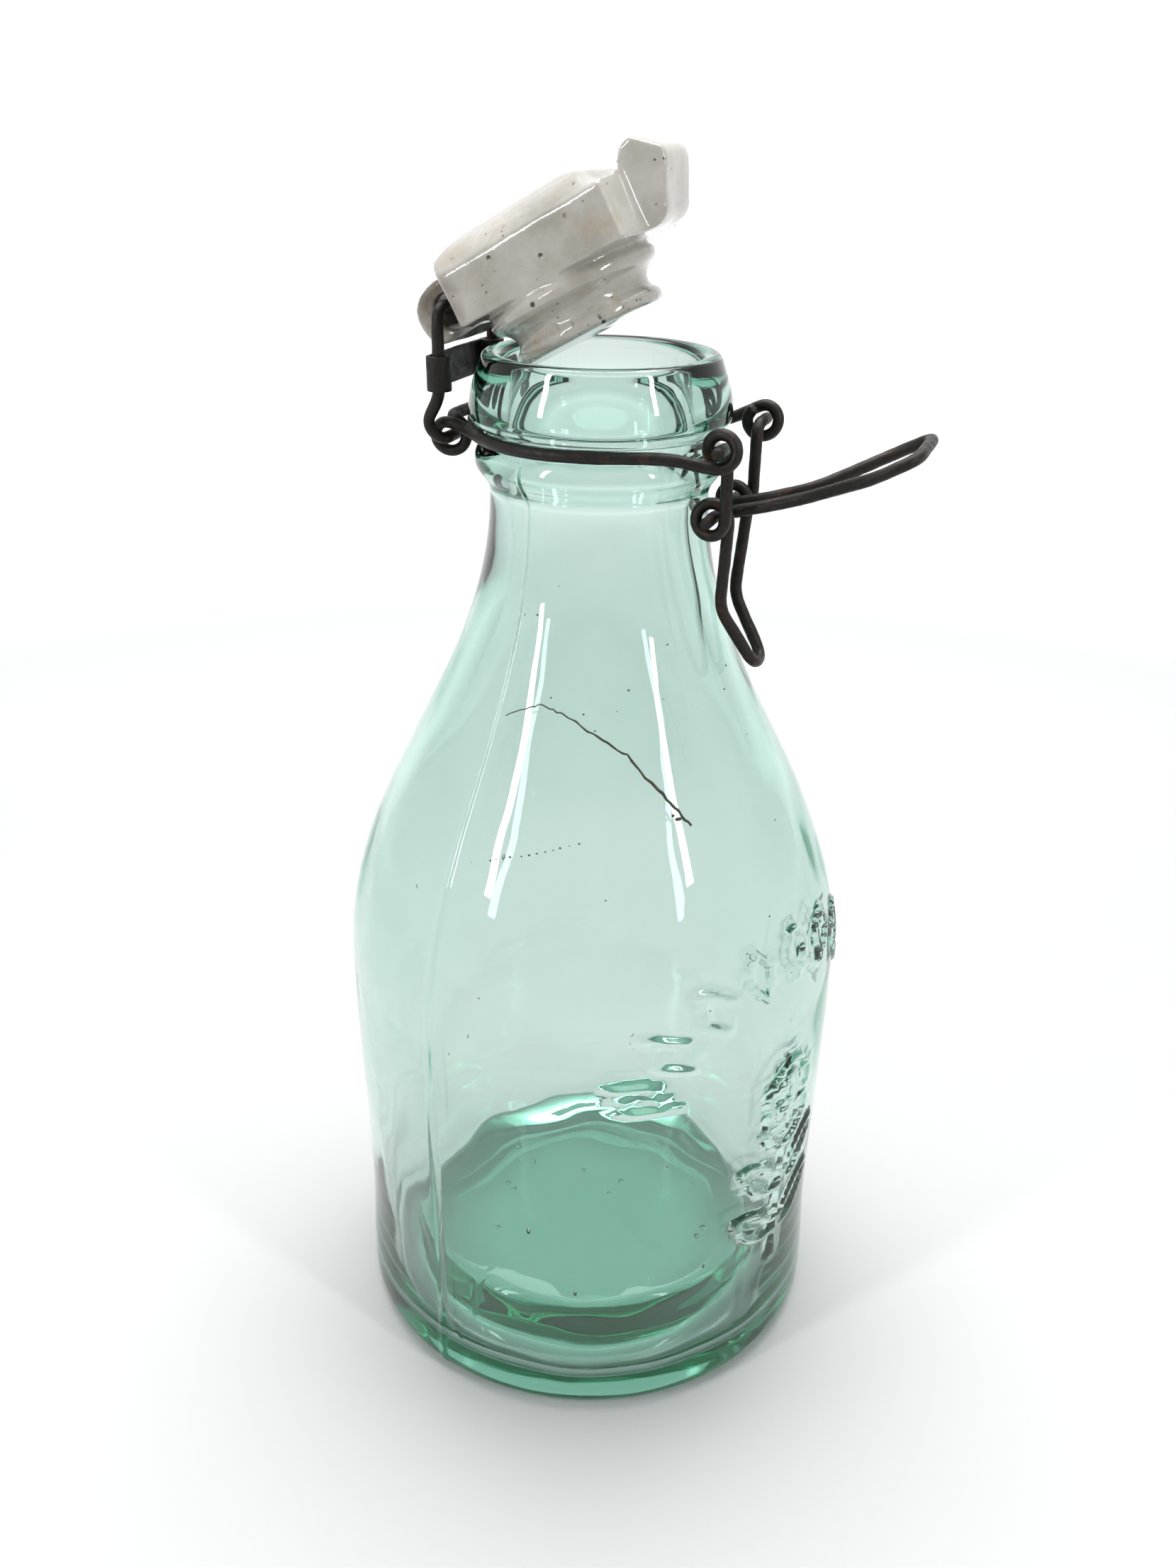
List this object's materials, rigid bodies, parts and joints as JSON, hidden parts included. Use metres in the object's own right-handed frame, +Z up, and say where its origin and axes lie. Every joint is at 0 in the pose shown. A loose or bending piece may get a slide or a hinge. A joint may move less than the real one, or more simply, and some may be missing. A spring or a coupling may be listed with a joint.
{
  "type": "swing top bottle",
  "caption": "Moulded glass bottle with a domed porcelain stopper hinged on a wire stirrup, a wire lever and a wire bail on a neck wire.",
  "frame": {"origin": "centre of the bottle's standing face, on the bottle's axis", "axes": "+Z up along the bottle's axis, +X from the stopper's hinge towards its nose and the lever, +Y to the left of +X; the closure is symmetric about the XZ plane"},
  "size_m": [0.1158, 0.106, 0.2528],
  "materials": {
    "aqua_glass": "clear moulded aqua glass, glossy, thick and dark green at the heel and lip",
    "porcelain": "glazed off-white porcelain with fine dark specks and brown stains",
    "iron_wire": "blackened iron wire with rust",
    "iron_strap": "blackened sheet iron"
  },
  "bodies": {
    "bottle_body": {"bottle": "aqua_glass", "neck_wire": "iron_wire"},
    "stirrup": {"hinge_wire": "iron_wire", "hinge_strap": "iron_strap"},
    "stopper_body": {"stopper": "porcelain"},
    "lever_body": {"lever": "iron_wire"},
    "bail_body": {"bail": "iron_wire"}
  },
  "joints": [
    {"name": "stirrup_swing", "type": "hinge", "parent": "bottle_body", "child": "stirrup", "pos_m": [-0.0278, 0, 0.1994], "axis": [0, -1, 0], "range_deg": [-17, 115]},
    {"name": "stopper_tilt", "type": "hinge", "parent": "stirrup", "child": "stopper_body", "pos_m": [-0.0278, 0, 0.2234], "axis": [0, -1, 0], "range_deg": [-11.5, 77.5]},
    {"name": "lever_swing", "type": "hinge", "parent": "bottle_body", "child": "lever_body", "pos_m": [0.0281, 0, 0.2026], "axis": [0, -1, 0], "range_deg": [0, 75]},
    {"name": "bail_swing", "type": "hinge", "parent": "lever_body", "child": "bail_body", "pos_m": [0.025, 0, 0.1885], "axis": [0, -1, 0], "range_deg": [-58, 15]}
  ],
  "couplings": [
    {"joint": "stopper_tilt", "follows": "stirrup_swing", "ratio": 0.671}
  ]
}
